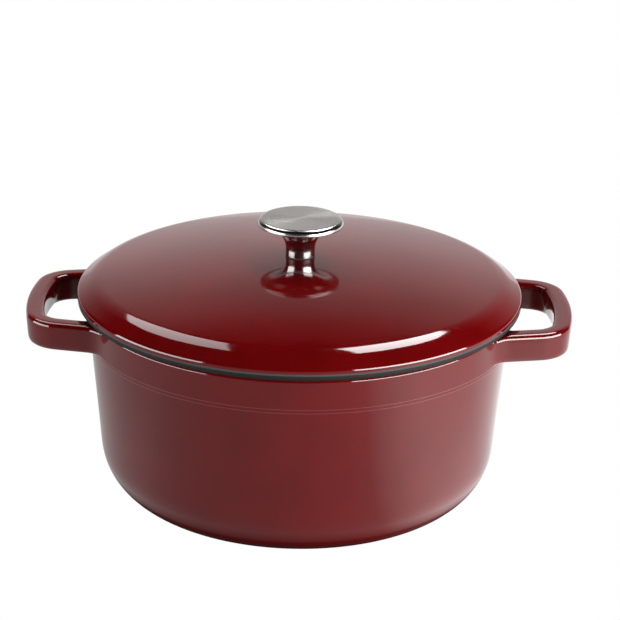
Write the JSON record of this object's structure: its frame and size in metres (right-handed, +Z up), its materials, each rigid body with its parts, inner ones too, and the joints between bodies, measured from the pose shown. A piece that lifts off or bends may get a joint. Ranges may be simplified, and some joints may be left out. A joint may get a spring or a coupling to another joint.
{
  "type": "dutch oven",
  "caption": "Round enamelled cast iron cooking pot with loop handles and a lift-off domed lid with a steel knob.",
  "frame": {"origin": "centre of the base, on the plane that the pot stands on", "axes": "+Z up along the pot's axis; +X through the middle of one loop handle, -X through the other"},
  "size_m": [0.3348, 0.272, 0.1765],
  "materials": {
    "bare_iron": "matte black ground coat on iron",
    "red_enamel": "glossy dark red fired enamel on iron",
    "cream_enamel": "glossy cream fired enamel",
    "brushed_cap": "stainless steel, brushed in circles, polished edge",
    "polished_stem": "polished stainless steel",
    "plated_steel": "plated steel",
    "black_rubber": "matte black heat-proof rubber"
  },
  "bodies": {
    "pot": {"pot_casting": "bare_iron", "left_handle": "red_enamel", "right_handle": "red_enamel", "pot_outer_enamel": "red_enamel", "pot_inner_enamel": "cream_enamel"},
    "lid": {"lid_casting": "bare_iron", "lid_outer_enamel": "red_enamel", "lid_inner_enamel": "cream_enamel", "knob_cap": "brushed_cap", "knob_stem": "polished_stem", "knob_insert": "plated_steel", "knob_gasket": "black_rubber", "flat_washer": "plated_steel", "lock_washer": "plated_steel", "knob_screw": "plated_steel"}
  },
  "joints": [
    {"name": "lid_lift", "type": "slide", "parent": "pot", "child": "lid", "axis": [0, 0, 1], "range_m": [0, 0.2]}
  ]
}
